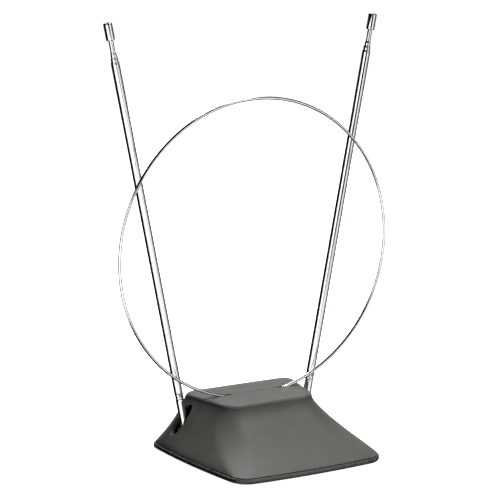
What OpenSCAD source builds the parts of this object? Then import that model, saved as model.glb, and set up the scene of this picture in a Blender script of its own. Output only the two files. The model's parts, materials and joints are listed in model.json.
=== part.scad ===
// Set-top television antenna: a weighted moulded base, a fixed wire loop for UHF,
// and two telescopic rods for VHF that tilt outwards in slots at the sides.
// Millimetres, +Z up. The origin is the middle of the base outline, on the table.
// The loop stands in the seam between the front and rear halves of the housing,
// the front of the base faces -Y, and the rods stand behind the loop.

/* [Base] */
// Half width of the base outline, halfway back
base_half_w = 55.5; // [52:0.1:60]
// Half depth of the base outline at its corners
base_half_d = 51.9; // [50:0.1:56]
// Height of the top face, where the loop enters it
top_z = 34.9; // [33:0.1:37]
// Half width of the top face, halfway back
top_half_w = 35.6; // [34:0.1:37]
// Half depth of the top face
top_half_d = 24.4; // [23.5:0.1:26]
// Wall thickness of the housing
wall = 2.2; // [1.8:0.1:2.6]

/* [Loop] */
// Radius of the loop to the middle of its wire
loop_radius = 95; // [85:1:105]
// Diameter of the loop's wire
loop_wire_d = 2; // [1.8:0.1:2.2]
// Angle by which the loop leans to the front
loop_lean = 2.2; // [0:0.1:3]

/* [Rods] */
// Distance from the middle of the base to each rod's hinge
hinge_x = 43.3; // [42.6:0.1:44]
// Height of the rod hinges
hinge_z = 12; // [11.5:0.1:12.5]
// Outward tilt of both rods from upright, as drawn
rod_tilt = 11.1; // [0:0.1:30]
// Distance from the hinge to the top of the outer tube
outer_tube_end = 239.2; // [200:0.2:260]
// Outside diameter of the outer tube
outer_tube_d = 5.5; // [5.5:0.1:5.8]

/* [Hidden] */

// Colours
housing_grey = [0.40, 0.40, 0.38];
plate_black = [0.13, 0.13, 0.13];
rubber_black = [0.06, 0.06, 0.06];
chrome = [0.85, 0.86, 0.87];
zinc = [0.62, 0.63, 0.62];
brass = [0.78, 0.64, 0.32];
board_green = [0.16, 0.38, 0.20];
copper = [0.72, 0.40, 0.20];
ferrite = [0.22, 0.22, 0.23];
ceramic_tan = [0.76, 0.55, 0.30];

// Housing outline: top and bottom values of each measure that changes with height
seam_y = 20.7;
base_corner_r = 10.2;
top_corner_r = 8.6;
mid_corner_swell = 5.3;
swell_rise = 0.67;
base_bow = 2.7;
top_bow = 0.2;
base_taper = 0.08;
top_taper = 0.14;
top_centre_y = seam_y - 0.2;
side_flare = 1.16;
front_flare = 1.7;
rear_flare = 0.5;
bow_flare = 1.4;
rim_fillet = 2.2;
rim_z = top_z - rim_fillet;
top_crown = 0.7;
lip_z = 3.6;
skirt_z = 3.8;
groove_depth = 0.7;
groove_fade = 12;
roof_drop = 0.9;
foot_h = 0.6;
corner_steps = 7;
side_steps = 6;
flare_steps = 9;
fillet_steps = 4;
seam_gap = 0.06;
eps = 0.01;

// Loop
loop_entry_x = 22;
loop_centre_z = top_z + sqrt(pow(loop_radius, 2) - pow(loop_entry_x, 2));
loop_entry_angle = asin(loop_entry_x / loop_radius);
loop_bend_r = 4;
loop_bend_x = loop_entry_x + loop_bend_r * sin(loop_entry_angle);
loop_leg_x = loop_bend_x - loop_bend_r;
loop_leg_end_z = 13;
loop_steps = 120;
bend_steps = 6;
wire_groove = 0.35;
passage_len = 10.6;
passage_h = 14;
notch_len = 14;
notch_w = 0.9;
socket_d = 5;
socket_top_z = 24;

// Base plate and what stands on it
foot_d = 11;
foot_at = [[-44, -44], [44, -44], [-48, 43], [48, 43]];
front_screw_at = [[-30, -24], [30, -24]];
rear_screw_at = [[-31, 42], [31, 42]];
screw_d = 3;
screw_hole_d = 3.4;
screw_head_d = 5.6;
screw_head_h = 1.6;
boss_d = 7.5;
ballast_size = [48, 34, 5];
ballast_y = -13;
board_size = [50, 22, 1.6];
board_z = 9;
board_y = seam_y;
board_post_at = [[-22, seam_y - 8], [22, seam_y - 8], [-22, seam_y + 8], [22, seam_y + 8]];
board_post_d = 4.6;
board_screw_d = 2;
core_z = board_z + board_size.z;

// Cable gland at the rear
gland_bore_r = 2.6;
gland_neck_r = 4;
gland_seat_r = 7.2;
gland_grip = [-0.2, 6];
gland_z = 17;
gland_y = 47.2;

// Rod hinge
rod_y = seam_y + 11;
ear_gap = 6;
ear_t = 1;
ear_r = 4;
bracket_t = 1;
bracket_half_w = 4;
tab_screw_x = 33.5;
pin_d = 3;
pin_hole_r = 1.6;
knuckle_bore_r = 1.55;
knuckle_r = 3.4;
knuckle_t = 4;
washer_t = 0.8;
nut_h = 2.4;
nut_af = 5.5;
slot_w = 8.8;
slot_low_z = 11.2;
slot_taper_z = 18;
slot_top_w = 6.2;
slot_top_z = 29.1;

// Telescopic sections: each tube fits inside the one before it
tube_wall = 0.25;
tube_step = 0.8;
tube_d = [for (i = [0:3]) outer_tube_d - i * tube_step];
slide_clearance = 0.04;
section_step = [0, 2.8, 5.9];
section_end = [for (i = [0:2]) outer_tube_end + section_step[i]];
section_start = [6, 33, 42, 55];
bush_len = 5;
mouth_len = 1.4;
tip_exposed = 7.4;
cap_start = section_end[2] + tip_exposed;
cap_len = 10.5;
cap_d = 5.5;
cap_socket = 6;
knuckle_plug_end = 28;
crimp_at = [22.2, 24, 26];
crimp_depth = 0.15;

// ---- Outline and loft functions ----

// Blend between the top value and the bottom value; f is 0 at the top and 1 at the bottom
function blend(top, bottom, f) = top + (bottom - top) * f;

// One closed outline: a rounded rectangle with bowed sides that widens to the rear
function rounded_points(a, b, r) = [
    for (q = [0:3], i = [0:corner_steps + side_steps - 1])
        let (
            sx = (q == 0 || q == 3) ? 1 : -1,
            sy = q < 2 ? 1 : -1,
            next_sx = q < 2 ? -1 : 1,
            next_sy = (q == 0 || q == 3) ? 1 : -1,
            ang = 90 * q + 90 * min(i, corner_steps) / corner_steps,
            p0 = [sx * (a - r) + r * cos(ang), sy * (b - r) + r * sin(ang)],
            p1 = [next_sx * (a - r) + r * cos(90 * q + 90), next_sy * (b - r) + r * sin(90 * q + 90)],
            s = max(0, i - corner_steps) / side_steps
        )
        p0 + (p1 - p0) * s
];

function bowed_outline(a, b, r, bow, taper, yc) = [
    for (p = rounded_points(a, b, r))
        [
            (p.x + bow * (1 - pow(p.y / b, 2)) * p.x / a) * (1 + taper * p.y / b),
            p.y + bow * (1 - pow(p.x / a, 2)) * p.y / b + yc
        ]
];

// Housing outline at height fraction t (0 at the skirt, 1 at the rim), moved in by inset
function housing_outline(t, inset) =
    let (
        s = 1 - t,
        side = pow(s, side_flare),
        front = pow(s, front_flare),
        rear = pow(s, rear_flare),
        front_y = blend(top_centre_y - top_half_d, -base_half_d, front),
        rear_y = blend(top_centre_y + top_half_d, base_half_d, rear),
        r = blend(top_corner_r, base_corner_r, s) + mid_corner_swell * 4 * pow(t, swell_rise) * s
    )
    bowed_outline(blend(top_half_w, base_half_w, side) - inset, (rear_y - front_y) / 2 - inset,
        max(r - inset, 2), blend(top_bow, base_bow, pow(s, bow_flare)), blend(top_taper, base_taper, side),
        (front_y + rear_y) / 2);

function at_height(outline, z) = [for (p = outline) [p.x, p.y, z]];

// Ring of the flared wall, and the stacks of rings that make the housing and the base plate
function flare_ring(t, inset, drop) =
    at_height(housing_outline(t, inset + groove_depth * pow(1 - t, groove_fade)),
        skirt_z + (rim_z - skirt_z) * t - drop);
function outer_rings() = concat(
    [at_height(housing_outline(0, groove_depth), lip_z)],
    [for (i = [0:flare_steps]) flare_ring(pow(i / flare_steps, 1.3), 0, 0)],
    [for (i = [1:fillet_steps])
        let (a = 90 * i / fillet_steps)
        at_height(housing_outline(1, rim_fillet * (1 - cos(a))), rim_z + rim_fillet * sin(a) * 0.86)],
    [at_height(housing_outline(1, top_half_d * 0.55), top_z + top_crown * 0.7)]
);
function inner_rings() = concat(
    [at_height(housing_outline(0, groove_depth + wall), lip_z - 1)],
    [for (i = [0:flare_steps - 1]) flare_ring(pow(i / flare_steps, 1.3), wall, roof_drop)],
    [at_height(housing_outline(1, wall + 0.6), top_z - wall - 0.3)]
);
function plate_rings() = [
    at_height(housing_outline(0, 1.1), foot_h),
    at_height(housing_outline(0, 0.35), foot_h + 0.35),
    at_height(housing_outline(0, 0), foot_h + 1.1),
    at_height(housing_outline(0, 0), lip_z - groove_depth),
    at_height(housing_outline(0, groove_depth * 0.3), lip_z - groove_depth * 0.3),
    at_height(housing_outline(0, groove_depth), lip_z)
];

// Mean point of a ring
function ring_centre(ring) = [for (p = ring) 1] * ring / len(ring);

// Closed solid through a stack of rings with equal numbers of points
module loft(rings, cap_rise = 0) {
    n = len(rings[0]);
    m = len(rings);
    points = concat([for (ring = rings, p = ring) p],
        [ring_centre(rings[0]), ring_centre(rings[m - 1]) + [0, 0, cap_rise]]);
    sides = [for (i = [0:m - 2], j = [0:n - 1], half = [0:1])
        let (jn = (j + 1) % n)
        half == 0
            ? [i * n + j, (i + 1) * n + j, (i + 1) * n + jn]
            : [i * n + j, (i + 1) * n + jn, i * n + jn]];
    caps = [for (j = [0:n - 1], top = [0:1])
        let (jn = (j + 1) % n)
        top == 0 ? [j, jn, m * n] : [(m - 1) * n + jn, (m - 1) * n + j, m * n + 1]];
    polyhedron(points, concat(sides, caps));
}

// Round wire along a route that lies in one plane; normal is the unit vector across that plane
module wire(route, d, normal, sides) {
    m = len(route);
    rings = [for (i = [0:m - 1])
        let (
            along = route[min(i + 1, m - 1)] - route[max(i - 1, 0)],
            up = cross(normal, along) / norm(along)
        )
        [for (j = [0:sides - 1])
            route[i] + d / 2 * (normal * cos(360 * j / sides) + up * sin(360 * j / sides))]];
    points = concat([for (ring = rings, p = ring) p], [route[0], route[m - 1]]);
    walls = [for (i = [0:m - 2], j = [0:sides - 1], half = [0:1])
        let (jn = (j + 1) % sides)
        half == 0
            ? [i * sides + j, (i + 1) * sides + jn, (i + 1) * sides + j]
            : [i * sides + j, i * sides + jn, (i + 1) * sides + jn]];
    caps = [for (j = [0:sides - 1], top = [0:1])
        let (jn = (j + 1) % sides)
        top == 0 ? [jn, j, m * sides] : [(m - 1) * sides + j, (m - 1) * sides + jn, m * sides + 1]];
    polyhedron(points, concat(walls, caps));
}

// Points on a smooth arch between two points that leaves both ends upwards
function arch(a, b, rise, steps = 14) = [
    for (i = [0:steps])
        let (s = i / steps)
        a + (b - a) * (s * s * (3 - 2 * s)) + [0, 0, rise * 4 * s * (1 - s)]
];

// Lead that arches from a to b inside the housing
module arched_lead(a, b, rise, d) {
    across = cross(b - a, [0, 0, 1]);
    wire(arch(a, b, rise), d, across / norm(across), 8);
}

// ---- Housing ----

// Cutter for the slot that lets one rod swing, on the side given by +1 or -1
module rod_slot(side) {
    low_r = slot_w / 2;
    top_r = slot_top_w / 2;
    low_z = slot_low_z + low_r;
    top_centre_z = slot_top_z - top_r;
    translate([side * 52, rod_y, 0])
        rotate([90, 0, 90])
            linear_extrude(44, center = true) {
                translate([0, low_z])
                    circle(low_r, $fn = 48);
                translate([0, top_centre_z])
                    circle(top_r, $fn = 48);
                polygon([[-low_r, low_z], [low_r, low_z], [low_r, slot_taper_z], [top_r, top_centre_z],
                    [-top_r, top_centre_z], [-low_r, slot_taper_z]]);
            }
}

// Half of the hollow housing, with a screw boss left standing at each of the given places
module half_housing(boss_at, bore_depth) {
    difference() {
        intersection() {
            loft(outer_rings(), top_crown * 0.3);
            children();
        }
        difference() {
            loft(inner_rings());
            for (p = boss_at)
                translate([p.x, p.y, 0])
                    cylinder(h = top_z, d = boss_d, $fn = 32);
        }
        for (p = boss_at)
            translate([p.x, p.y, lip_z - 1])
                cylinder(h = bore_depth + 1, d = screw_d, $fn = 32);
    }
}

module front_shell() {
    color(housing_grey)
        difference() {
            half_housing(front_screw_at, 5.5)
                translate([-100, seam_y - seam_gap - 200, 0])
                    cube([200, 200, 60]);
            loop_passage();
        }
}

module rear_shell() {
    color(housing_grey)
        difference() {
            union() {
                half_housing(rear_screw_at, 9)
                    translate([-100, seam_y + seam_gap, 0])
                        cube([200, 200, 60]);
                translate([0, gland_y + gland_grip[0], gland_z])
                    rotate([-90, 0, 0])
                        cylinder(h = gland_grip[1] - gland_grip[0], r = gland_seat_r, $fn = 48);
            }
            rod_slot(-1);
            rod_slot(1);
            loop_passage();
            translate([0, gland_y - 10, gland_z])
                rotate([-90, 0, 0])
                    cylinder(h = 30, r = gland_neck_r + 0.1, $fn = 48);
        }
}

// Room for the loop's ends in the seam, and the shallow grooves beyond them
module loop_passage() {
    groove_w = loop_wire_d + 2 * wire_groove;
    inner_x = loop_leg_x - loop_wire_d;
    for (side = [-1, 1]) {
        translate([side * (inner_x + passage_len / 2), seam_y, top_z])
            cube([passage_len, groove_w, passage_h], center = true);
        translate([side * (top_half_w - notch_len / 2 + 4), seam_y, top_z + 0.2])
            cube([notch_len, notch_w, 2.6], center = true);
    }
}

// ---- Base plate and what stands on it ----

module base_plate() {
    color(plate_black)
        difference() {
            union() {
                loft(plate_rings());
                for (p = board_post_at)
                    translate([p.x, p.y, lip_z - 1])
                        cylinder(h = board_z - lip_z + 1, d = board_post_d, $fn = 32);
            }
            for (p = foot_at)
                translate([p.x, p.y, foot_h - 1])
                    cylinder(h = 2, d = foot_d, $fn = 48);
            for (p = concat(front_screw_at, rear_screw_at))
                translate([p.x, p.y, foot_h - 1]) {
                    cylinder(h = 1 + screw_head_h, d = screw_head_d + 0.6, $fn = 32);
                    cylinder(h = 10, d = screw_hole_d, $fn = 32);
                }
            for (p = board_post_at)
                translate([p.x, p.y, board_z - 4.5])
                    cylinder(h = 6, d = board_screw_d, $fn = 24);
            for (side = [-1, 1])
                translate([side * tab_screw_x, rod_y, foot_h + 0.8])
                    cylinder(h = 6, d = board_screw_d, $fn = 24);
        }
}

module rubber_feet() {
    color(rubber_black)
        for (p = foot_at)
            translate([p.x, p.y, 0])
                rotate_extrude($fn = 48)
                    polygon([[0, 0], [foot_d / 2 - 0.6, 0], [foot_d / 2 - 0.05, 0.5],
                        [foot_d / 2 - 0.05, foot_h + 1], [0, foot_h + 1]]);
}

module housing_screws() {
    color(zinc) {
        for (p = front_screw_at)
            translate([p.x, p.y, foot_h + screw_head_h])
                recessed_screw(6, screw_d - 0.1, screw_head_d, screw_head_h - 0.4);
        for (p = rear_screw_at)
            translate([p.x, p.y, foot_h + screw_head_h])
                recessed_screw(9, screw_d - 0.1, screw_head_d, screw_head_h - 0.4);
    }
}

// Screw pointing up, with its head below z = 0 and a cross recess in the head
module recessed_screw(shank, d, head_d, head_h) {
    difference() {
        rotate_extrude($fn = 32)
            polygon([[0, -head_h], [head_d / 2 - 0.4, -head_h], [head_d / 2, -head_h + 0.4],
                [head_d / 2, 0], [d / 2, 0], [d / 2, shank - 0.8], [0.3, shank], [0, shank]]);
        for (a = [0, 90])
            rotate([0, 0, a])
                translate([0, 0, -head_h])
                    cube([head_d * 0.5, 0.6, head_h * 0.9], center = true);
    }
}

module ballast_plate() {
    color(zinc)
        difference() {
            translate([-ballast_size.x / 2, ballast_y - ballast_size.y / 2, lip_z])
                cube(ballast_size);
            for (sx = [-1, 1], sy = [-1, 1])
                translate([sx * ballast_size.x / 2, ballast_y + sy * ballast_size.y / 2, lip_z])
                    rotate([0, 0, 45])
                        cube([4, 4, 20], center = true);
        }
}

// ---- Loop ----

// Points round an arc in the XZ plane
function arc_points(cx, cz, r, from, to, steps) = [
    for (i = [0:steps])
        let (a = from + (to - from) * i / steps)
        [cx + r * cos(a), 0, cz + r * sin(a)]
];

// Middle of the wire from the right leg, round the loop, to the left leg. The line where the
// wire enters the top face is the X axis here.
function loop_route() =
    let (
        bend_z = -loop_bend_r * cos(loop_entry_angle),
        leg_z = loop_leg_end_z - top_z
    )
    concat(
        [[loop_leg_x, 0, leg_z]],
        arc_points(loop_bend_x, bend_z, loop_bend_r, 180, 92 + loop_entry_angle, bend_steps),
        arc_points(0, loop_centre_z - top_z, loop_radius, loop_entry_angle - 90, 270 - loop_entry_angle,
            loop_steps),
        arc_points(-loop_bend_x, bend_z, loop_bend_r, 88 - loop_entry_angle, 0, bend_steps),
        [[-loop_leg_x, 0, leg_z]]
    );

module uhf_loop() {
    color(chrome)
        translate([0, seam_y, top_z])
            rotate([loop_lean, 0, 0])
                wire(loop_route(), loop_wire_d, [0, 1, 0], 12);
}

// Brass socket on the circuit board that takes one leg of the loop
module loop_socket(side) {
    leg_x = side * loop_leg_x;
    color(brass)
        difference() {
            translate([0, seam_y, top_z])
                rotate([loop_lean, 0, 0])
                    translate([leg_x, 0, 0])
                        difference() {
                            translate([0, 0, board_z - top_z])
                                cylinder(h = socket_top_z - board_z, d = socket_d, $fn = 32);
                            translate([0, 0, loop_leg_end_z - 0.5 - top_z])
                                cylinder(h = 30, d = loop_wire_d + 0.1, $fn = 32);
                        }
            translate([leg_x, seam_y, board_z + board_size.z - 10])
                cube([20, 20, 20], center = true);
        }
}

// ---- Electronics ----

module circuit_board() {
    color(board_green)
        difference() {
            translate([-board_size.x / 2, board_y - board_size.y / 2, board_z])
                cube(board_size);
            for (p = board_post_at)
                translate([p.x, p.y, board_z - 1])
                    cylinder(h = 4, d = board_screw_d + 0.4, $fn = 24);
        }
}

module board_screws() {
    color(zinc)
        for (p = board_post_at)
            translate([p.x, p.y, board_z + board_size.z])
                mirror([0, 0, 1])
                    recessed_screw(5, board_screw_d - 0.1, 3.8, 1.2);
}

// Two-hole ferrite core that matches the aerial to the lead
module balun_core() {
    color(ferrite)
        translate([0, board_y, core_z])
            difference() {
                linear_extrude(8)
                    polygon([[-7, -2.6], [-5.6, -4], [5.6, -4], [7, -2.6],
                        [7, 2.6], [5.6, 4], [-5.6, 4], [-7, 2.6]]);
                for (s = [-1, 1])
                    translate([s * 3.3, 0, -1])
                        cylinder(h = 10, d = 3.6, $fn = 32);
            }
}

// Three turns through both holes, each turn a closed loop of enamelled wire
module balun_winding() {
    wire_r = 0.35;
    color(copper)
        translate([0, board_y, core_z])
            for (k = [-1:1])
                translate([0, k * 0.9, 0]) {
                    for (s = [-1, 1])
                        translate([s * 3.3, 0, 0.5])
                            cylinder(h = 8, r = wire_r, $fn = 16);
                    translate([0, 0, 8.5])
                        rotate([90, 0, 0])
                            rotate_extrude(angle = 180, $fn = 48)
                                translate([3.3, 0])
                                    circle(wire_r, $fn = 16);
                }
}

// Air-wound choke standing on the board
module choke_coil() {
    turns = 7;
    pitch = 1;
    color(copper)
        translate([-12, board_y + 5.5, core_z])
            rotate_extrude($fn = 40)
                polygon(concat([[1.7, 0.2], [1.7, turns * pitch]],
                    [for (i = [turns * 6:-1:0]) [2.2 + 0.35 * abs(sin(180 * i / 6)), 0.2 + i * pitch / 6]]));
}

module disc_capacitors() {
    color(ceramic_tan)
        for (p = [[11, board_y + 6.5], [-12, board_y - 5.5], [11, board_y - 6.5]])
            translate([p.x, p.y, core_z]) {
                translate([0, 0, 4.6])
                    rotate([90, 0, 0])
                        rotate_extrude($fn = 40)
                            polygon([[0, -1], [2, -1], [2.7, -0.5], [2.7, 0.5], [2, 1], [0, 1]]);
                for (s = [-1, 1])
                    translate([s * 1.25, 0, 0])
                        cylinder(h = 3, r = 0.3, $fn = 16);
            }
}

// Bush in the rear wall that the aerial lead passes through
module cable_gland() {
    color(rubber_black)
        translate([0, gland_y, gland_z])
            rotate([-90, 0, 0])
                rotate_extrude($fn = 48)
                    polygon([[gland_bore_r, -2.6], [5.6, -2.6], [6, -2.2], [6, gland_grip[0]],
                        [gland_neck_r, gland_grip[0]], [gland_neck_r, gland_grip[1]], [5.4, gland_grip[1]],
                        [5.4, gland_grip[1] + 0.7], [4.6, gland_grip[1] + 1.3],
                        [gland_bore_r, gland_grip[1] + 1.3]]);
}

// ---- Rod hinges ----

// Steel bracket that holds one rod's hinge screw
module pivot_bracket(side) {
    color(zinc)
        translate([side * hinge_x, rod_y, 0])
            difference() {
                union() {
                    for (s = [-1, 1])
                        translate([0, s * (ear_gap + ear_t) / 2, 0])
                            bracket_ear();
                    translate([0, 0, lip_z + bracket_t / 2])
                        cube([2 * bracket_half_w, ear_gap + 2 * ear_t, bracket_t], center = true);
                    translate([side * (tab_screw_x - hinge_x) / 2, 0, lip_z + bracket_t / 2])
                        cube([hinge_x - tab_screw_x + 6, ear_gap + 2 * ear_t, bracket_t], center = true);
                }
                translate([0, 0, hinge_z])
                    rotate([90, 0, 0])
                        cylinder(h = 20, r = pin_hole_r, center = true, $fn = 48);
                translate([side * (tab_screw_x - hinge_x), 0, lip_z - 1])
                    cylinder(h = 4, d = board_screw_d + 0.4, $fn = 24);
            }
}

module bracket_ear() {
    rotate([90, 0, 0])
        linear_extrude(ear_t, center = true) {
            translate([0, hinge_z])
                circle(ear_r, $fn = 48);
            translate([-bracket_half_w, lip_z])
                square([2 * bracket_half_w, hinge_z - lip_z]);
        }
}

module pivot_screw(side) {
    head_y = -(ear_gap / 2 + ear_t);
    end_y = ear_gap / 2 + ear_t + nut_h + 0.6;
    color(zinc)
        translate([side * hinge_x, rod_y, hinge_z])
            rotate([-90, 0, 0])
                difference() {
                    rotate_extrude($fn = 48)
                        polygon([[0, head_y - 2], [2, head_y - 2], [2.75, head_y - 1.2], [2.75, head_y],
                            [pin_d / 2, head_y], [pin_d / 2, end_y], [0, end_y]]);
                    for (a = [0, 90])
                        rotate([0, 0, a])
                            translate([0, 0, head_y - 2])
                                cube([3, 0.7, 2], center = true);
                }
}

module pivot_nut(side) {
    color(zinc)
        translate([side * hinge_x, rod_y + ear_gap / 2 + ear_t, hinge_z])
            rotate([-90, 0, 0])
                difference() {
                    linear_extrude(nut_h)
                        circle(nut_af / sqrt(3), $fn = 6);
                    translate([0, 0, -1])
                        cylinder(h = 5, d = pin_d + 0.02, $fn = 48);
                }
}

// Spring washers that press on both faces of the knuckle
module friction_washers(side) {
    color(brass)
        for (s = [-1, 1])
            translate([side * hinge_x, rod_y + s * (ear_gap / 2 - washer_t / 2 - 0.08), hinge_z])
                rotate([90, 0, 0])
                    difference() {
                        cylinder(h = washer_t, d = 6.4, center = true, $fn = 48);
                        cylinder(h = 3, r = pin_hole_r, center = true, $fn = 48);
                    }
}

module bracket_screws() {
    color(zinc)
        for (side = [-1, 1])
            translate([side * tab_screw_x, rod_y, lip_z + bracket_t])
                mirror([0, 0, 1])
                    recessed_screw(3, board_screw_d - 0.1, 3.8, 1.2);
}

// ---- Leads inside the housing ----

module rod_lead(side) {
    color(rubber_black)
        arched_lead([side * (tab_screw_x - 2.5), rod_y - 1, lip_z + bracket_t + 0.1],
            [side * 18, board_y + 5.7, core_z + 0.1], 7, 1.1);
}

module loop_lead(side) {
    color(copper)
        arched_lead([side * 15.8, board_y, core_z + 2.2], [side * 7.4, board_y, core_z + 1], 2, 0.7);
}

// ---- Telescopic rods ----

// Puts its children in one rod's own frame: hinge at the origin, rod along +Z
module on_rod(side) {
    translate([side * hinge_x, rod_y, hinge_z])
        rotate([0, side * rod_tilt, 0])
            children();
}

// Lug on the hinge screw, with the shank that the outer tube is crimped onto
module knuckle(side) {
    plug_r = tube_d[0] / 2 - tube_wall - crimp_depth;
    color(zinc)
        on_rod(side)
            difference() {
                union() {
                    rotate([90, 0, 0])
                        cylinder(h = knuckle_t, r = knuckle_r, center = true, $fn = 48);
                    intersection() {
                        cylinder(h = section_start[0], d = outer_tube_d, $fn = 48);
                        cube([20, knuckle_t, 40], center = true);
                    }
                    translate([0, 0, section_start[0] - 1])
                        cylinder(h = 1, d = outer_tube_d, $fn = 48);
                    translate([0, 0, section_start[0] - eps])
                        cylinder(h = knuckle_plug_end - section_start[0], r = plug_r, $fn = 48);
                }
                rotate([90, 0, 0])
                    cylinder(h = 20, r = knuckle_bore_r, center = true, $fn = 48);
            }
}

// Tube i of a rod, with its upper end rolled in to guide the next section
module tube_section(i, crimps) {
    r_out = tube_d[i] / 2;
    r_in = r_out - tube_wall;
    mouth_r = tube_d[i + 1] / 2 + slide_clearance;
    start = section_start[i];
    end = section_end[i];
    notch = [for (c = crimps, k = [-1:1]) [c + k * 0.6, k == 0 ? crimp_depth : 0]];
    outside = concat([[r_out, start]], [for (p = notch) [r_out - p[1], p[0]]],
        [[r_out, end - mouth_len], [r_out - 0.12, end - mouth_len + 0.3], [r_out - 0.12, end - 0.35],
            [mouth_r + 0.1, end]]);
    inside = concat([[mouth_r, end - 0.15], [mouth_r, end - mouth_len + 0.4], [r_in, end - mouth_len - 0.4]],
        [for (k = [len(notch) - 1:-1:0]) [r_in - notch[k][1], notch[k][0]]], [[r_in, start]]);
    rotate_extrude($fn = 48)
        polygon(concat(outside, inside));
}

module outer_tube(side) {
    color(chrome)
        on_rod(side)
            tube_section(0, crimp_at);
}

module second_tube(side) {
    color(chrome)
        on_rod(side)
            tube_section(1, []);
}

module third_tube(side) {
    color(chrome)
        on_rod(side)
            tube_section(2, []);
}

// Sprung bush at the lower end of section i that rubs in tube i - 1
module slide_bush(i, inner_r) {
    start = section_start[i];
    guide_r = tube_d[i - 1] / 2 - tube_wall - slide_clearance;
    rotate_extrude($fn = 48)
        polygon([[0, start - 2], [guide_r - 0.2, start - 2], [guide_r, start - 1.8], [guide_r, start - 0.02],
            [inner_r, start - 0.02], [inner_r, start + bush_len - 2], [0, start + bush_len - 2]]);
}

module second_bush(side) {
    color(brass)
        on_rod(side)
            slide_bush(1, tube_d[1] / 2 - tube_wall);
}

module third_bush(side) {
    color(brass)
        on_rod(side)
            slide_bush(2, tube_d[2] / 2 - tube_wall);
}

// Brass collar at the foot of the solid tip rod
module tip_bush(side) {
    start = section_start[3];
    guide_r = tube_d[2] / 2 - tube_wall - slide_clearance;
    color(brass)
        on_rod(side)
            rotate_extrude($fn = 48)
                polygon([[0, start - 2], [guide_r - 0.2, start - 2], [guide_r, start - 1.8],
                    [guide_r, start - 0.02], [0, start - 0.02]]);
}

module tip_rod(side) {
    color(chrome)
        on_rod(side)
            translate([0, 0, section_start[3]])
                cylinder(h = cap_start + cap_socket - section_start[3], d = tube_d[3], $fn = 48);
}

module tip_cap(side) {
    r = cap_d / 2;
    end = cap_start + cap_len;
    socket_r = tube_d[3] / 2;
    socket_end = cap_start + cap_socket;
    color(chrome)
        on_rod(side)
            rotate_extrude($fn = 48)
                polygon([[socket_r, cap_start], [r - 0.25, cap_start], [r, cap_start + 0.25], [r, end - 0.7],
                    [r - 0.2, end - 0.2], [r - 0.7, end], [0, end], [0, socket_end], [socket_r, socket_end]]);
}

front_shell();
rear_shell();
base_plate();
rubber_feet();
housing_screws();
ballast_plate();
uhf_loop();
loop_socket(-1);  // loop_socket_left
loop_socket(1);  // loop_socket_right
circuit_board();
board_screws();
balun_core();
balun_winding();
choke_coil();
disc_capacitors();
cable_gland();
pivot_bracket(-1);  // pivot_bracket_left
pivot_screw(-1);  // pivot_screw_left
pivot_nut(-1);  // pivot_nut_left
friction_washers(-1);  // friction_washers_left
pivot_bracket(1);  // pivot_bracket_right
pivot_screw(1);  // pivot_screw_right
pivot_nut(1);  // pivot_nut_right
friction_washers(1);  // friction_washers_right
bracket_screws();
rod_lead(-1);  // rod_lead_left
rod_lead(1);  // rod_lead_right
loop_lead(-1);  // loop_lead_left
loop_lead(1);  // loop_lead_right
knuckle(-1);  // knuckle_left
outer_tube(-1);  // outer_tube_left
second_tube(-1);  // second_tube_left
second_bush(-1);  // second_bush_left
third_tube(-1);  // third_tube_left
third_bush(-1);  // third_bush_left
tip_rod(-1);  // tip_rod_left
tip_bush(-1);  // tip_bush_left
tip_cap(-1);  // tip_cap_left
knuckle(1);  // knuckle_right
outer_tube(1);  // outer_tube_right
second_tube(1);  // second_tube_right
second_bush(1);  // second_bush_right
third_tube(1);  // third_tube_right
third_bush(1);  // third_bush_right
tip_rod(1);  // tip_rod_right
tip_bush(1);  // tip_bush_right
tip_cap(1);  // tip_cap_right
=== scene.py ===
"""Looks of a set-top television antenna: moulded base, wire loop and two telescopic rods.

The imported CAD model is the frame. The housing, base plate, feet, lead bush, loop and rods are rebuilt
here as finer meshes in the same places, and every other CAD node gets a procedural material. Lengths
are millimetres in the sections from the housing to the rods, and where MM or a name ending in _mm says
so. Elsewhere they are metres.
"""
import json
import math

import bmesh
import bpy
import numpy as np
from mathutils import Matrix, Vector


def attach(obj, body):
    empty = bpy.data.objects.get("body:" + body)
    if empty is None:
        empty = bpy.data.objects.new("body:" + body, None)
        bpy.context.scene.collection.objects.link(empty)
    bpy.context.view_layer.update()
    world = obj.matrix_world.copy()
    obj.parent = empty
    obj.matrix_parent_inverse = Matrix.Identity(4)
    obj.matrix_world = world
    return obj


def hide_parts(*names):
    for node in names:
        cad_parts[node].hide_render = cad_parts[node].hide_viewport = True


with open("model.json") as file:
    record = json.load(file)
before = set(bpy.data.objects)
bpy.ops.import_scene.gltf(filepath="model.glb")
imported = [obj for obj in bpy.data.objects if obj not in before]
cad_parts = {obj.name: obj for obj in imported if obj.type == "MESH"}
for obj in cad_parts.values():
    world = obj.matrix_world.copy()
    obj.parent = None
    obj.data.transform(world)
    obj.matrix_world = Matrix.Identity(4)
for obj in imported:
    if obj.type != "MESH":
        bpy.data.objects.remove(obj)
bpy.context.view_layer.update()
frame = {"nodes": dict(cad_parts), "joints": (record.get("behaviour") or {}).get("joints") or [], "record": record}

MM = 0.001
JOINTS = {joint["name"]: joint for joint in frame["joints"]}


# ---------------------------------------------------------------- materials

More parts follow.
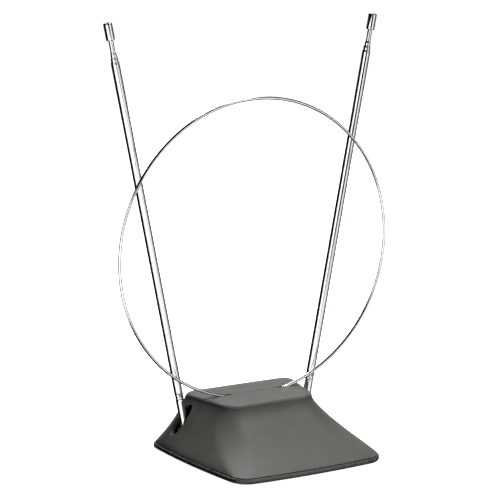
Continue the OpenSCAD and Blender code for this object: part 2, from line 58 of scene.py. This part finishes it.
class Surface:
    """A node material under construction: a Principled shader and helpers that add nodes to it."""

    def __init__(self, name, **sockets):
        self.material = bpy.data.materials.new(name)
        self.material.use_nodes = True
        self.tree = self.material.node_tree
        self.shader = self.tree.nodes["Principled BSDF"]
        self.where = self.tree.nodes.new("ShaderNodeTexCoord").outputs["Object"]
        for key, value in sockets.items():
            self.shader.inputs[key.replace("_", " ")].default_value = value

    def node(self, kind, **values):
        made = self.tree.nodes.new(kind)
        for key, value in values.items():
            setattr(made, key, value)
        return made

    def link(self, source, target):
        self.tree.links.new(source, target)

    def noise(self, scale, detail=3.0, stretch=(1, 1, 1)):
        mapping = self.node("ShaderNodeMapping")
        mapping.inputs["Scale"].default_value = stretch
        self.link(self.where, mapping.inputs["Vector"])
        made = self.node("ShaderNodeTexNoise")
        made.inputs["Scale"].default_value = scale
        made.inputs["Detail"].default_value = detail
        self.link(mapping.outputs["Vector"], made.inputs["Vector"])
        return made.outputs["Fac"]

    def cells(self, scale, stretch=(1, 1, 1)):
        mapping = self.node("ShaderNodeMapping")
        mapping.inputs["Scale"].default_value = stretch
        self.link(self.where, mapping.inputs["Vector"])
        made = self.node("ShaderNodeTexVoronoi")
        made.inputs["Scale"].default_value = scale
        self.link(mapping.outputs["Vector"], made.inputs["Vector"])
        return made.outputs["Distance"]

    def remap(self, source, low, high, to_low, to_high):
        made = self.node("ShaderNodeMapRange")
        for key, value in zip(("From Min", "From Max", "To Min", "To Max"), (low, high, to_low, to_high)):
            made.inputs[key].default_value = value
        self.link(source, made.inputs["Value"])
        return made.outputs["Result"]

    def mix(self, factor, first, second):
        made = self.node("ShaderNodeMix", data_type="RGBA")
        self.link(factor, made.inputs["Factor"])
        made.inputs["A"].default_value = (*first, 1)
        made.inputs["B"].default_value = (*second, 1)
        return made.outputs["Result"]

    def vary_colour(self, base, other, scale, low=0.35, high=0.7, **kw):
        factor = self.remap(self.noise(scale, **kw), low, high, 0, 1)
        self.link(self.mix(factor, base, other), self.shader.inputs["Base Color"])

    def vary_roughness(self, low, high, scale, **kw):
        self.link(self.remap(self.noise(scale, **kw), 0.3, 0.7, low, high), self.shader.inputs["Roughness"])

    def bump(self, *layers):
        """Each layer is (height source, strength, depth in metres)."""
        normal = None
        for height, strength, depth in layers:
            made = self.node("ShaderNodeBump")
            made.inputs["Strength"].default_value = strength
            made.inputs["Distance"].default_value = depth
            self.link(height, made.inputs["Height"])
            if normal is not None:
                self.link(normal, made.inputs["Normal"])
            normal = made.outputs["Normal"]
        self.link(normal, self.shader.inputs["Normal"])


def moulded_plastic(name, base, other, rough, specular):
    """Satin moulding with a spark-eroded grain and faint handling marks."""
    s = Surface(name, Specular_IOR_Level=specular)
    s.vary_colour(base, other, 38, detail=5)
    s.vary_roughness(rough - 0.05, rough + 0.06, 90, detail=6)
    s.bump((s.cells(3800), 0.35, 0.00005), (s.noise(1700, 4), 0.3, 0.00006), (s.noise(45, 2), 0.12, 0.0004))
    return s.material


def plated(name, base, other, rough):
    """Bright plating over drawn metal: fine lines along the part, a soft haze, a few pin marks."""
    s = Surface(name, Metallic=1.0)
    s.vary_colour(base, other, 60, detail=4)
    lines = s.noise(900, 3, stretch=(6, 6, 0.15))
    s.link(s.remap(lines, 0.3, 0.75, rough, rough + 0.05), s.shader.inputs["Roughness"])
    s.bump((lines, 0.05, 0.00003), (s.noise(260, 2), 0.04, 0.00005))
    return s.material


def machined(name, base, other, rough):
    """Zinc plate, steel or brass with turning marks and a mottled tarnish."""
    s = Surface(name, Metallic=1.0)
    s.vary_colour(base, other, 240, detail=6)
    s.vary_roughness(rough - 0.08, rough + 0.12, 420, detail=5)
    s.bump((s.noise(1500, 3, stretch=(1, 1, 5)), 0.2, 0.00004))
    return s.material


def soft_rubber(name):
    s = Surface(name, Specular_IOR_Level=0.35)
    s.vary_colour((0.018, 0.018, 0.018), (0.035, 0.034, 0.033), 150, detail=6)
    s.vary_roughness(0.62, 0.82, 300)
    s.bump((s.noise(2200, 4), 0.4, 0.00008))
    return s.material


def lacquered_board(name):
    s = Surface(name, Coat_Weight=0.6, Coat_Roughness=0.12)
    s.vary_colour((0.02, 0.11, 0.035), (0.03, 0.17, 0.05), 420, low=0.45, high=0.55, detail=1,
                  stretch=(1, 3, 1))
    s.vary_roughness(0.3, 0.45, 500)
    s.bump((s.cells(900, stretch=(1, 1, 0.1)), 0.25, 0.00005))
    return s.material


def enamelled_wire(name, base, other):
    s = Surface(name, Metallic=0.85, Coat_Weight=0.5, Coat_Roughness=0.2)
    s.vary_colour(base, other, 700, detail=4)
    s.vary_roughness(0.22, 0.36, 900)
    s.bump((s.noise(2500, 3), 0.15, 0.00004))
    return s.material


def dull_ceramic(name, base, other):
    s = Surface(name, Specular_IOR_Level=0.4)
    s.vary_colour(base, other, 500, detail=6)
    s.vary_roughness(0.5, 0.72, 800)
    s.bump((s.noise(2600, 5), 0.4, 0.00006))
    return s.material


MATERIALS = {
    "housing": moulded_plastic(
        "housing_plastic", (0.082, 0.082, 0.074), (0.094, 0.094, 0.086), 0.4, 0.2),
    "base_plate": moulded_plastic(
        "plate_plastic", (0.072, 0.072, 0.067), (0.084, 0.084, 0.078), 0.28, 0.55),
    "chrome": plated("chrome_plate", (0.90, 0.905, 0.90), (0.84, 0.85, 0.85), 0.035),
    "zinc_steel": machined("zinc_plate", (0.52, 0.53, 0.54), (0.36, 0.37, 0.36), 0.34),
    "ballast": machined("oiled_steel", (0.30, 0.29, 0.28), (0.18, 0.165, 0.15), 0.5),
    # Brass colours are darkened far below bright brass so that the washers seen through the slot read as dark
    # shade: painted shade, over a mottled tone
    "brass": machined("brass_darkened_as_slot_shade", (0.30, 0.23, 0.11), (0.19, 0.14, 0.07), 0.42),
    "rubber": soft_rubber("black_rubber"),
    "circuit_board": lacquered_board("green_board"),
    "ferrite": dull_ceramic("grey_ferrite", (0.045, 0.045, 0.05), (0.075, 0.074, 0.075)),
    "copper_wire": enamelled_wire("copper_enamel", (0.62, 0.24, 0.09), (0.44, 0.15, 0.06)),
    "ceramic": dull_ceramic("tan_ceramic", (0.50, 0.26, 0.09), (0.62, 0.34, 0.13)),
    "lead_sleeve": moulded_plastic("black_sleeve", (0.02, 0.02, 0.02), (0.035, 0.035, 0.035), 0.45, 0.4),
}
SLOT_OF = {part["node"]: part["material_slot"] for part in frame["record"]["subparts"]}
BODY_OF = {node: body for body, nodes in frame["record"]["behaviour"]["bodies"].items() for node in nodes}

for name, obj in frame["nodes"].items():
    obj.data.materials.clear()
    obj.data.materials.append(MATERIALS[SLOT_OF[name]])


# ---------------------------------------------------------------- mesh helpers

def mesh_object(name, points, faces):
    mesh = bpy.data.meshes.new(name)
    mesh.from_pydata([tuple(p) for p in points], [], [tuple(f) for f in faces])
    mesh.update()
    obj = bpy.data.objects.new(name, mesh)
    bpy.context.scene.collection.objects.link(obj)
    return obj


def loft_faces(rings, count):
    faces = [
        (i * count + j, i * count + (j + 1) % count, (i + 1) * count + (j + 1) % count, (i + 1) * count + j)
        for i in range(rings - 1) for j in range(count)
    ]
    faces.append(tuple(range(count))[::-1])
    faces.append(tuple((rings - 1) * count + j for j in range(count)))
    return faces


def loft(name, rings):
    """Closed solid through rings of points, lowest ring first, each counter-clockwise from above."""
    return mesh_object(name, np.concatenate(rings) * MM, loft_faces(len(rings), len(rings[0])))


def box_mm(name, low, high):
    (x0, y0, z0), (x1, y1, z1) = low, high
    square = [(x0, y0), (x1, y0), (x1, y1), (x0, y1)]
    return loft(name, [np.array([(x, y, z) for x, y in square], float) for z in (z0, z1)])


def combine(obj, operation, tool):
    """Applies one exact boolean of tool to obj, and removes the tool."""
    modifier = obj.modifiers.new(operation, "BOOLEAN")
    modifier.operation = operation
    modifier.solver = "EXACT"
    modifier.object = tool
    bpy.context.view_layer.update()
    result = bpy.data.meshes.new_from_object(obj.evaluated_get(bpy.context.evaluated_depsgraph_get()))
    obj.modifiers.clear()
    obj.data = result
    bpy.data.objects.remove(tool, do_unlink=True)


def shade(obj, sharp_degrees=35):
    """Smooth faces with hard edges where the surface turns by more than the given angle."""
    mesh = obj.data
    work = bmesh.new()
    work.from_mesh(mesh)
    for face in work.faces:
        face.smooth = True
    limit = math.radians(sharp_degrees)
    for edge in work.edges:
        edge.smooth = len(edge.link_faces) == 2 and edge.calc_face_angle(0) < limit
    work.to_mesh(mesh)
    work.free()


def finish_piece(obj, node, more_nodes=()):
    """Gives a rebuilt piece its material and its body, and hides the CAD nodes that it stands for."""
    obj.data.materials.clear()
    obj.data.materials.append(MATERIALS[SLOT_OF[node]])
    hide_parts(node, *more_nodes)
    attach(obj, BODY_OF[node])
    return obj


# ---------------------------------------------------------------- housing

SEAM_Y = 20.7
TOP_Z = 34.9
TOP_CENTRE_Y = SEAM_Y - 0.2
# Half sizes, corner radii, bulge of the sides and taper towards the front, at the top and at the foot
TOP_HALF_W, BASE_HALF_W = 35.6, 55.5
TOP_HALF_D, BASE_HALF_D = 24.4, 51.9
TOP_CORNER_R, BASE_CORNER_R = 8.6, 10.2
TOP_BOW, BASE_BOW = 0.2, 2.7
TOP_TAPER, BASE_TAPER = 0.14, 0.08
# Powers of the curves that the flare follows from top to foot
SIDE_FLARE, FRONT_FLARE, REAR_FLARE, BOW_FLARE = 1.16, 1.7, 0.5, 1.4
MID_CORNER_SWELL, SWELL_RISE = 5.3, 0.67
RIM_FILLET = 2.2
RIM_FLATNESS = 0.86
RIM_Z = TOP_Z - RIM_FILLET
TOP_CROWN = 0.7
LIP_Z = 3.6
SKIRT_Z = 4.2
FOOT_H = 0.6
WALL = 2.2
ROOF_DROP = 0.9
GROOVE_DEPTH = 1.0
GROOVE_FADE = 16
GROOVE_GAP = 0.5
GROOVE_UNDERCUT = 0.3
SEAM_GAP = 0.06
CORNER_STEPS = 22
SIDE_STEPS = 14
FLARE_STEPS = 44


def between(top, bottom, f):
    return top + (bottom - top) * f


def rounded_rectangle(a, b, r):
    points = []
    for q in range(4):
        sx, sy = (1 if q in (0, 3) else -1), (1 if q < 2 else -1)
        nx, ny = (-1 if q < 2 else 1), (1 if q in (0, 3) else -1)
        end = math.radians(90 * q + 90)
        stop = np.array([nx * (a - r) + r * math.cos(end), ny * (b - r) + r * math.sin(end)])
        for i in range(CORNER_STEPS + SIDE_STEPS):
            angle = math.radians(90 * q + 90 * min(i, CORNER_STEPS) / CORNER_STEPS)
            start = np.array([sx * (a - r) + r * math.cos(angle), sy * (b - r) + r * math.sin(angle)])
            points.append(start + (stop - start) * max(0, i - CORNER_STEPS) / SIDE_STEPS)
    return np.array(points)


def housing_outline(t, inset, z):
    """Ring of the housing's outside at height fraction t, moved in by inset, at height z."""
    s = 1 - t
    side = s ** SIDE_FLARE
    front_y = between(TOP_CENTRE_Y - TOP_HALF_D, -BASE_HALF_D, s ** FRONT_FLARE)
    rear_y = between(TOP_CENTRE_Y + TOP_HALF_D, BASE_HALF_D, s ** REAR_FLARE)
    a, b = between(TOP_HALF_W, BASE_HALF_W, side) - inset, (rear_y - front_y) / 2 - inset
    r = between(TOP_CORNER_R, BASE_CORNER_R, s) + MID_CORNER_SWELL * 4 * t ** SWELL_RISE * s
    bow, taper = between(TOP_BOW, BASE_BOW, s ** BOW_FLARE), between(TOP_TAPER, BASE_TAPER, side)
    x, y = rounded_rectangle(a, b, max(r - inset, 2)).T
    across = (x + bow * (1 - (y / b) ** 2) * x / a) * (1 + taper * y / b)
    along = y + bow * (1 - (x / a) ** 2) * y / b + (front_y + rear_y) / 2
    return np.column_stack([across, along, np.full(len(x), z)])


def flare_ring(t, inset, drop):
    """Ring of the flare at height fraction t, with the groove above the lip."""
    groove = GROOVE_DEPTH * (1 - t) ** GROOVE_FADE
    return housing_outline(t, inset + groove, SKIRT_Z + (RIM_Z - SKIRT_Z) * t - drop)


def outer_rings():
    rings = [housing_outline(0, GROOVE_DEPTH + GROOVE_UNDERCUT, LIP_Z + GROOVE_GAP)]
    rings += [flare_ring((i / FLARE_STEPS) ** 1.3, 0, 0) for i in range(FLARE_STEPS + 1)]
    for i in range(1, 11):
        a = math.radians(9 * i)
        rim_z = RIM_Z + RIM_FILLET * RIM_FLATNESS * math.sin(a)
        rings.append(housing_outline(1, RIM_FILLET * (1 - math.cos(a)), rim_z))
    rim_top = RIM_Z + RIM_FILLET * RIM_FLATNESS
    crown_z, crown_inset = TOP_Z + TOP_CROWN * 0.7, TOP_HALF_D * 0.55
    for i in range(1, 9):
        f = i / 8
        rings.append(housing_outline(1, between(RIM_FILLET, crown_inset, f),
                                     between(rim_top, crown_z, math.sin(math.pi / 2 * f))))
    return rings


def inner_rings():
    rings = [housing_outline(0, GROOVE_DEPTH + WALL, LIP_Z - 1)]
    rings += [flare_ring((i / 24) ** 1.3, WALL, ROOF_DROP) for i in range(24)]
    rings.append(housing_outline(1, WALL + 0.6, TOP_Z - WALL - 0.3))
    return rings


def arc(cx, cy, r, start, stop, steps):
    angles = np.radians(np.linspace(start, stop, steps + 1))
    return np.column_stack([cx + r * np.cos(angles), cy + r * np.sin(angles)])


ROD_Y = SEAM_Y + 11
SLOT_LOW_Z, SLOT_TOP_Z = 11.2, 29.1
SLOT_LOW_R, SLOT_TOP_R = 4.4, 3.1
SLOT_TAPER_Z = 18
LEG_X, WIRE_D = 18.93, 2.0
PASSAGE_LEN = 10.6
GLAND_Y, GLAND_Z = 47.2, 17
GLAND_NECK_R, GLAND_SEAT_R = 4, 7.2
GLAND_GRIP = (-0.2, 6)


def slot_cutter(side):
    """Prism across the side wall, with the outline of the slot that a rod swings in."""
    low_z, top_z = SLOT_LOW_Z + SLOT_LOW_R, SLOT_TOP_Z - SLOT_TOP_R
    outline = np.concatenate([
        arc(0, top_z, SLOT_TOP_R, 8, 172, 20), [(-SLOT_LOW_R, SLOT_TAPER_Z)],
        arc(0, low_z, SLOT_LOW_R, 180, 360, 24), [(SLOT_LOW_R, SLOT_TAPER_Z)],
    ])
    rings = [np.column_stack([np.full(len(outline), side * x), ROD_Y + outline[:, 0] * side, outline[:, 1]])
             for x in (30, 74)]
    return loft("slot_cutter", rings)


def passage_cutters():
    for side in (-1, 1):
        start = LEG_X - WIRE_D
        low, high = sorted((side * start, side * (start + PASSAGE_LEN)))
        yield box_mm("passage", (low, SEAM_Y - 1.35, TOP_Z - 7), (high, SEAM_Y + 1.35, TOP_Z + 7))
        low, high = sorted((side * (TOP_HALF_W - 10), side * (TOP_HALF_W + 4)))
        yield box_mm("notch", (low, SEAM_Y - 0.45, TOP_Z - 1.1), (high, SEAM_Y + 0.45, TOP_Z + 1.5))


def seam_line():
    """Narrow step where the two shells meet on the top face."""
    return box_mm("seam", (-60, SEAM_Y - 0.2, TOP_Z - 0.1), (60, SEAM_Y + 0.2, TOP_Z + 2))


def cylinder_y(name, x, y0, y1, z, r, steps=64):
    ring = arc(x, z, r, 0, 360, steps)[:-1]
    ends = [np.column_stack([ring[:, 0], np.full(steps, y), ring[:, 1]]) for y in (y1, y0)]
    return loft(name, ends)


def shell(name, low_y, high_y, extra):
    body = loft(name, outer_rings())
    combine(body, "DIFFERENCE", loft("inside", inner_rings()))
    combine(body, "INTERSECT", box_mm("half", (-100, low_y, 0), (100, high_y, 60)))
    extra(body)
    for cutter in (*passage_cutters(), seam_line()):
        combine(body, "DIFFERENCE", cutter)
    shade(body)
    return finish_piece(body, name)


def rear_features(body):
    low, high = (GLAND_Y + reach for reach in GLAND_GRIP)
    combine(body, "UNION", cylinder_y("seat", 0, low, high, GLAND_Z, GLAND_SEAT_R))
    bore = cylinder_y("bore", 0, GLAND_Y - 10, GLAND_Y + 20, GLAND_Z, GLAND_NECK_R + 0.1)
    combine(body, "DIFFERENCE", bore)
    for side in (-1, 1):
        combine(body, "DIFFERENCE", slot_cutter(side))


shell("front_shell", -100, SEAM_Y - SEAM_GAP, lambda body: None)
shell("rear_shell", SEAM_Y + SEAM_GAP, 100, rear_features)


# ---------------------------------------------------------------- base plate, feet and gland

FOOT_AT = [(-44, -44), (44, -44), (-48, 43), (48, 43)]
SCREW_AT = [(-30, -24), (30, -24), (-31, 42), (31, 42)]
POST_AT = [(x, SEAM_Y + y) for x in (-22, 22) for y in (-8, 8)]
POST_D, POST_TOP_Z = 4.6, 9
FOOT_RECESS_D, SCREW_HEAD_D, SCREW_HOLE_D, PILOT_D = 11, 6.2, 3.4, 2
BRACKET_SCREW_X = 33.5


def soften(profile, radius, steps=3):
    """Rounds the corners of a profile of (radius, height) points, except those on the axis."""
    points = [np.array(p, float) for p in profile]
    out = []
    for i, here in enumerate(points):
        before, after = points[i - 1], points[(i + 1) % len(points)]
        if here[0] == 0:
            out.append(here)
            continue
        ends = []
        for other in (before, after):
            reach = np.linalg.norm(other - here)
            ends.append(here + (other - here) * min(radius / reach, 0.45))
        for t in np.linspace(0, 1, steps + 1):
            out.append((1 - t) ** 2 * ends[0] + 2 * t * (1 - t) * here + t ** 2 * ends[1])
    return out


def turned(name, profile, place=Matrix(), steps=72, dent=None):
    """Solid of revolution about the Z axis of place; dent(angle, radius, height) gives a new radius."""
    points, rows = [], []
    for r, z in profile:
        if r == 0:
            rows.append([len(points)] * steps)
            points.append((0, 0, z))
            continue
        rows.append(list(range(len(points), len(points) + steps)))
        for j in range(steps):
            a = 2 * math.pi * j / steps
            here = dent(a, r, z) if dent else r
            points.append((here * math.cos(a), here * math.sin(a), z))
    faces = []
    for low, high in zip(rows, rows[1:] + rows[:1]):
        if low[0] == low[1] and high[0] == high[1]:
            continue
        for j in range(steps):
            k = (j + 1) % steps
            faces.append(tuple(dict.fromkeys((low[j], low[k], high[k], high[j]))))
    obj = mesh_object(name, [place @ (Vector(p) * MM) for p in points], faces)
    shade(obj)
    return obj


def shift(x, y, z=0.0):
    return Matrix.Translation(Vector((x, y, z)) * MM)


def pin(name, x, y, low, high, d, steps=40):
    return turned(name, [(0, low), (d / 2, low), (d / 2, high), (0, high)], shift(x, y), steps)


def base_plate():
    # Inset and height of each ring, up the rounded edge of the lip
    rounded = [(2.4, FOOT_H), (1.1, FOOT_H), (0.62, FOOT_H + 0.08), (0.3, FOOT_H + 0.3),
               (0.08, FOOT_H + 0.62),
               (0, FOOT_H + 1.0), (0, LIP_Z - 0.75), (0.06, LIP_Z - 0.5), (0.2, LIP_Z - 0.27),
               (0.42, LIP_Z - 0.09), (0.7, LIP_Z), (2, LIP_Z)]
    plate = loft("base_plate", [housing_outline(0, inset, z) for inset, z in rounded])
    for x, y in POST_AT:
        combine(plate, "UNION", pin("post", x, y, LIP_Z - 1, POST_TOP_Z, POST_D))
    for x, y in FOOT_AT:
        combine(plate, "DIFFERENCE", pin("recess", x, y, FOOT_H - 1, FOOT_H + 1, FOOT_RECESS_D, 64))
    for x, y in SCREW_AT:
        combine(plate, "DIFFERENCE", pin("head", x, y, FOOT_H - 1, FOOT_H + 1.6, SCREW_HEAD_D))
        combine(plate, "DIFFERENCE", pin("hole", x, y, FOOT_H - 1, 9.6, SCREW_HOLE_D))
    for x, y in POST_AT:
        combine(plate, "DIFFERENCE", pin("hole", x, y, POST_TOP_Z / 2, POST_TOP_Z + 1.5, PILOT_D, 24))
    for side in (-1, 1):
        hole = pin("hole", side * BRACKET_SCREW_X, ROD_Y, FOOT_H + 0.8, FOOT_H + 6.8, PILOT_D, 24)
        combine(plate, "DIFFERENCE", hole)
    shade(plate)
    finish_piece(plate, "base_plate")


def joined(name, parts):
    """One object from several meshes."""
    mesh = bpy.data.meshes.new(name)
    work = bmesh.new()
    for part in parts:
        work.from_mesh(part.data)
        bpy.data.objects.remove(part, do_unlink=True)
    work.to_mesh(mesh)
    work.free()
    obj = bpy.data.objects.new(name, mesh)
    bpy.context.scene.collection.objects.link(obj)
    return obj


def rubber_feet():
    profile = soften([(0, 0), (3.6, 0), (3.9, 0.25), (4.9, 0.02), (5.45, 0.5), (5.45, FOOT_H + 1),
                      (0, FOOT_H + 1)], 0.2)
    feet = joined("rubber_feet", [turned("foot", profile, shift(x, y)) for x, y in FOOT_AT])
    finish_piece(feet, "rubber_feet")


def cable_gland():
    bore_r = 2.6
    low, high = GLAND_GRIP
    profile = soften([(bore_r, -2.6), (5.6, -2.6), (6, -2.2), (6, low), (GLAND_NECK_R, low),
                      (GLAND_NECK_R, high), (5.4, high), (5.4, high + 0.7), (4.6, high + 1.3),
                      (bore_r, high + 1.3)], 0.18)
    place = shift(0, GLAND_Y, GLAND_Z) @ Matrix.Rotation(math.radians(-90), 4, "X")
    finish_piece(turned("cable_gland", profile, place), "cable_gland")


base_plate()
rubber_feet()
cable_gland()


# ---------------------------------------------------------------- loop

LOOP_R, ENTRY_X, BEND_R = 95.0, 22.0, 4.0
LEG_END_Z = 13
LOOP_LEAN = 2.2


def loop_route():
    """Middle of the wire in the plane of the loop, with the line where it enters the top as X axis."""
    entry = math.degrees(math.asin(ENTRY_X / LOOP_R))
    bend_x = ENTRY_X + BEND_R * math.sin(math.radians(entry))
    bend_z = -BEND_R * math.cos(math.radians(entry))
    leg_x = bend_x - BEND_R
    end_z = LEG_END_Z - TOP_Z
    return np.concatenate([
        [(leg_x, end_z)], arc(bend_x, bend_z, BEND_R, 180, 92 + entry, 14),
        arc(0, math.sqrt(LOOP_R ** 2 - ENTRY_X ** 2), LOOP_R, entry - 90, 270 - entry, 400),
        arc(-bend_x, bend_z, BEND_R, 88 - entry, 0, 14), [(-leg_x, end_z)],
    ])


def uhf_loop(sides=28):
    route = loop_route()
    rings = []
    for i, (x, z) in enumerate(route):
        along = route[min(i + 1, len(route) - 1)] - route[max(i - 1, 0)]
        up = np.array([-along[1], along[0]]) / np.linalg.norm(along)
        for j in range(sides):
            a = -2 * math.pi * j / sides
            out = WIRE_D / 2 * math.cos(a)
            rings.append((x + out * up[0], WIRE_D / 2 * math.sin(a), z + out * up[1]))
    place = shift(0, SEAM_Y, TOP_Z) @ Matrix.Rotation(math.radians(LOOP_LEAN), 4, "X")
    points = [place @ (Vector(p) * MM) for p in rings]
    obj = mesh_object("uhf_loop", points, loft_faces(len(route), sides))
    shade(obj, 50)
    finish_piece(obj, "uhf_loop")


uhf_loop()


# ---------------------------------------------------------------- rods

TUBE_D = [5.5, 4.7, 3.9, 3.1]
TUBE_WALL = 0.25
TUBE_END = [239.2, 242.0, 245.1]
TUBE_START = [6, 33, 42, 55]
CAP_START, CAP_LEN, CAP_R, CAP_SOCKET = 252.5, 10.5, 2.75, 6
CRIMP_AT = (22.2, 24.0, 26.0)
CRIMP_HALF_LEN, CRIMP_DEPTH_OUTSIDE, CRIMP_DEPTH_INSIDE = 0.75, 0.42, 0.15
REST_TILT = 11.1
SIDES = {"left": -1, "right": 1}


def rod_frame(name):
    """Frame of one rod as drawn: hinge at the origin, rod along +Z."""
    hinge = Vector(JOINTS["rod_tilt_" + name]["pos_m"])
    return Matrix.Translation(hinge) @ Matrix.Rotation(SIDES[name] * math.radians(REST_TILT), 4, "Y")


def crimped(angle, r, z):
    """Punched dimples round the foot of the outer tube."""
    middle_of_wall = (TUBE_D[0] - TUBE_WALL) / 2
    for row, at in enumerate(CRIMP_AT):
        near = max(0.0, 1 - ((z - at) / CRIMP_HALF_LEN) ** 2)
        around = max(0.0, math.cos(2 * angle + row * math.pi / 2))
        depth = CRIMP_DEPTH_OUTSIDE if r > middle_of_wall else CRIMP_DEPTH_INSIDE
        r -= depth * near * (0.2 + 0.8 * around)
    return r


def tube(node, i, place):
    r_out, mouth_r = TUBE_D[i] / 2, TUBE_D[i + 1] / 2 + 0.04
    r_in, start, end = r_out - TUBE_WALL, TUBE_START[i], TUBE_END[i]
    walls = np.linspace(20.6, 27.6, 57) if i == 0 else []
    profile = [(r_out, start)] + [(r_out, z) for z in walls]
    profile += soften([(r_out, end - 1.4), (r_out - 0.12, end - 1.1), (r_out - 0.12, end - 0.35),
                       (mouth_r + 0.1, end), (mouth_r, end - 0.15), (mouth_r, end - 1.0)], 0.12)
    profile += [(r_in, end - 1.8)] + [(r_in, z) for z in walls[::-1]] + [(r_in, start)]
    finish_piece(turned(node, profile, place, dent=crimped if i == 0 else None), node)


def rod(name):
    place = rod_frame(name)
    for i, node in enumerate(("outer_tube_", "second_tube_", "third_tube_")):
        tube(node + name, i, place)
    tip_r = TUBE_D[3] / 2
    foot, end, socket_end = TUBE_START[3], CAP_START + CAP_LEN, CAP_START + CAP_SOCKET
    tip = [(0, foot), (tip_r - 0.1, foot), (tip_r, foot + 0.1), (tip_r, socket_end), (0, socket_end)]
    finish_piece(turned("tip_rod_" + name, tip, place), "tip_rod_" + name)
    cap = soften([(tip_r, CAP_START), (CAP_R - 0.25, CAP_START), (CAP_R, CAP_START + 0.25),
                  (CAP_R, end - 0.7), (CAP_R - 0.2, end - 0.2), (CAP_R - 0.7, end)], 0.3, 5)
    cap += [(0, end), (0, socket_end), (tip_r, socket_end)]
    finish_piece(turned("tip_cap_" + name, cap, place), "tip_cap_" + name)


for side_name in SIDES:
    rod(side_name)


# ---------------------------------------------------------------- camera

AIM = Vector((-3.03, SEAM_Y, 126.58)) * MM
AZIMUTH, ELEVATION = math.radians(29.71), math.radians(10.74)
DISTANCE = 1.1588
away = Vector((-math.sin(AZIMUTH) * math.cos(ELEVATION), -math.cos(AZIMUTH) * math.cos(ELEVATION),
               math.sin(ELEVATION)))
camera = bpy.data.objects.new("camera", bpy.data.cameras.new("camera"))
camera.data.sensor_width = 36
camera.data.lens = 133.5
camera.location = AIM + away * DISTANCE
camera.rotation_euler = (-away).to_track_quat("-Z", "Y").to_euler()
bpy.context.scene.collection.objects.link(camera)
bpy.context.scene.camera = camera


# ---------------------------------------------------------------- floor and light

CENTRE = (0, 0, 0.08)
SCREEN_RADIUS = 1.0


def area_light(name, place, width, height, power, unseen_by):
    """Lamp aimed at CENTRE that one kind of ray, "glossy" or "diffuse", doesn't see."""
    data = bpy.data.lights.new(name, "AREA")
    data.shape = "RECTANGLE"
    data.size, data.size_y, data.energy = width, height, power
    obj = bpy.data.objects.new(name, data)
    obj.location = place
    obj.rotation_euler = (Vector(CENTRE) - Vector(place)).to_track_quat("-Z", "Y").to_euler()
    setattr(obj, "visible_" + unseen_by, False)
    bpy.context.scene.collection.objects.link(obj)


def curved_wall(name, radius, start, stop, low, high, count):
    """Upright wall of count flat panels round the Z axis, between two angles and two heights."""
    line = arc(0, 0, radius, start, stop, count)
    points = [(x, y, z) for z in (low, high) for x, y in line]
    return mesh_object(name, points, [(k, k + 1, k + count + 2, k + count + 1) for k in range(count)])


def screen(name, start, stop, low, high, brightness):
    """Curved studio screen that shiny surfaces reflect; angles are degrees to the right of the camera."""
    facing = math.degrees(math.atan2(away.y, away.x))
    count = max(2, int((stop - start) / 5) + 1)
    obj = curved_wall(name, SCREEN_RADIUS, facing + start, facing + stop, low, high, count)
    cloth = Surface(name, Specular_IOR_Level=0.0)
    cloth.vary_colour((0.5, 0.5, 0.5), (0.46, 0.46, 0.46), 30)
    cloth.vary_roughness(0.85, 0.95, 60)
    cloth.shader.inputs["Emission Color"].default_value = (1, 1, 1, 1)
    cloth.shader.inputs["Emission Strength"].default_value = brightness
    obj.data.materials.append(cloth.material)
    for ray in ("camera", "diffuse", "shadow", "transmission"):
        setattr(obj, "visible_" + ray, False)


floor = box_mm("floor", (-15000, -15000, -20), (15000, 15000, 0))
paper = Surface("floor_paper", Specular_IOR_Level=0.1)
paper.vary_colour((0.88, 0.88, 0.88), (0.86, 0.86, 0.86), 6)
paper.vary_roughness(0.85, 0.95, 40)
paper.shader.inputs["Emission Color"].default_value = (1, 1, 1, 1)
paper.shader.inputs["Emission Strength"].default_value = 1.0
backdrop = curved_wall("backdrop", 14, 360, 0, -0.01, 12, 48)
for piece in (floor, backdrop):
    piece.data.materials.append(paper.material)
    for ray in ("diffuse", "glossy", "shadow"):
        setattr(piece, "visible_" + ray, False)

scene = bpy.context.scene
scene.view_settings.view_transform = "Standard"
scene.view_settings.look = "None"
world = bpy.data.worlds.new("studio")
scene.world = world
world.use_nodes = True
world.node_tree.nodes["Background"].inputs["Color"].default_value = (1, 1, 1, 1)
world.node_tree.nodes["Background"].inputs["Strength"].default_value = 0.006

# Each row: name, place, width, height, power, kind of ray that doesn't see it
LIGHTS = [
    ("main", (0.7, -0.6, 1.8), 1.0, 1.0, 48, "glossy"),
    ("left_fill", (-0.8, -0.85, 1.35), 1.0, 1.0, 6, "glossy"),
    ("rim_glint", (0.45, 1.1, 1.35), 0.9, 0.4, 12, "diffuse"),
    ("lip_glint", (0.5, -0.05, 1.75), 0.4, 0.4, 8, "diffuse"),
    ("rear_fill", (0.3, 1.5, 1.0), 1.0, 1.0, 20, "glossy"),
]
for row in LIGHTS:
    area_light(*row)

# Each row: from and to angle, low and high edge in metres, brightness
SCREENS = [
    (-50, -5, -0.8, 0.5, 1.1), (-5, 34, -0.5, 0.0, 1.1), (-5, 34, 0.0, 0.09, 0.3),
    (34, 44, -0.5, 0.5, 0.14),
    (44, 67, -0.5, 0.5, 1.05), (67, 100, -0.5, 0.5, 0.16),
    (150, 215, -0.5, 0.5, 0.25),
]
for number, row in enumerate(SCREENS):
    screen(f"screen_{number}", *row)
